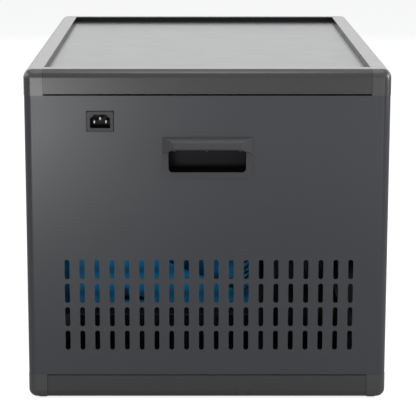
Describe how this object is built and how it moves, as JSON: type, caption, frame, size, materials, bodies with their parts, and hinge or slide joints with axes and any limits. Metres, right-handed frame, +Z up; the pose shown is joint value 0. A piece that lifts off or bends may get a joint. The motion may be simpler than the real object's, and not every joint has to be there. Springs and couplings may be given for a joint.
{
  "type": "charging cabinet",
  "caption": "Desktop steel charging cabinet with lockable front and rear doors, upright device bays, side lifting handles, vent slots and a mains inlet.",
  "frame": {"origin": "middle of the footprint, on the surface that the feet stand on", "axes": "+X along the cabinet towards the end with the mains inlet, -Y out of the front door, +Z up"},
  "size_m": [0.6326, 0.436, 0.4065],
  "materials": {
    "case_paint": "fine-textured dark grey powder coat",
    "inner_paint": "matt near-black powder coat",
    "rail_paint": "satin dark grey paint on aluminium",
    "corner_plastic": "satin dark grey moulding",
    "black_plastic": "fine matt black moulding",
    "divider_plastic": "satin blue moulding",
    "charger_plastic": "matt black housing",
    "contact_metal": "nickel-plated contacts",
    "hinge_steel": "zinc-plated steel",
    "bush_nylon": "natural nylon",
    "lock_chrome": "chromed zinc casting",
    "foot_rubber": "black rubber"
  },
  "bodies": {
    "cabinet": {"bay_divider_01": "divider_plastic", "bay_divider_02": "divider_plastic", "bay_divider_03": "divider_plastic", "bay_divider_04": "divider_plastic", "bay_divider_05": "divider_plastic", "bay_divider_06": "divider_plastic", "bay_divider_07": "divider_plastic", "bay_divider_08": "divider_plastic", "bay_divider_09": "divider_plastic", "bay_divider_10": "divider_plastic", "bay_divider_11": "divider_plastic", "bay_divider_12": "divider_plastic", "bay_divider_13": "divider_plastic", "bay_divider_14": "divider_plastic", "bay_divider_15": "divider_plastic", "bottom_corners": "corner_plastic", "bottom_panel": "inner_paint", "bottom_rail_front": "rail_paint", "bottom_rail_left": "rail_paint", "bottom_rail_rear": "rail_paint", "bottom_rail_right": "rail_paint", "charging_hub": "charger_plastic", "device_shelf": "inner_paint", "end_guard_left": "divider_plastic", "end_guard_right": "divider_plastic", "front_hinge_pins": "hinge_steel", "handle_left": "black_plastic", "handle_right": "black_plastic", "inlet_pins": "contact_metal", "mains_inlet": "black_plastic", "power_supply": "charger_plastic", "rear_bulkhead": "inner_paint", "rear_hinge_pins": "hinge_steel", "rubber_feet": "foot_rubber", "side_wall_left": "case_paint", "side_wall_right": "case_paint", "top_corners": "corner_plastic", "top_panel": "case_paint", "top_rail_front": "rail_paint", "top_rail_left": "rail_paint", "top_rail_rear": "rail_paint", "top_rail_right": "rail_paint", "wall_flanges_left": "case_paint", "wall_flanges_right": "case_paint"},
    "front_door": {"front_door": "case_paint", "front_door_bushes": "bush_nylon", "front_lock_barrel": "lock_chrome"},
    "rear_door": {"rear_door": "case_paint", "rear_door_bushes": "bush_nylon", "rear_lock_barrel": "lock_chrome"},
    "front_lock": {"front_lock_plug": "lock_chrome", "front_lock_cam": "hinge_steel"},
    "rear_lock": {"rear_lock_plug": "lock_chrome", "rear_lock_cam": "hinge_steel"}
  },
  "joints": [
    {"name": "front_door_hinge", "type": "hinge", "parent": "cabinet", "child": "front_door", "pos_m": [-0.2716, -0.2075, 0.2045], "axis": [0, 0, -1], "range_deg": [0, 100]},
    {"name": "front_lock_turn", "type": "hinge", "parent": "front_door", "child": "front_lock", "pos_m": [0.2566, -0.2165, 0.2045], "axis": [0, 1, 0], "range_deg": [0, 90]},
    {"name": "rear_door_hinge", "type": "hinge", "parent": "cabinet", "child": "rear_door", "pos_m": [0.2716, 0.2075, 0.2045], "axis": [0, 0, -1], "range_deg": [0, 100]},
    {"name": "rear_lock_turn", "type": "hinge", "parent": "rear_door", "child": "rear_lock", "pos_m": [-0.2566, 0.2165, 0.2045], "axis": [0, -1, 0], "range_deg": [0, 90]}
  ]
}
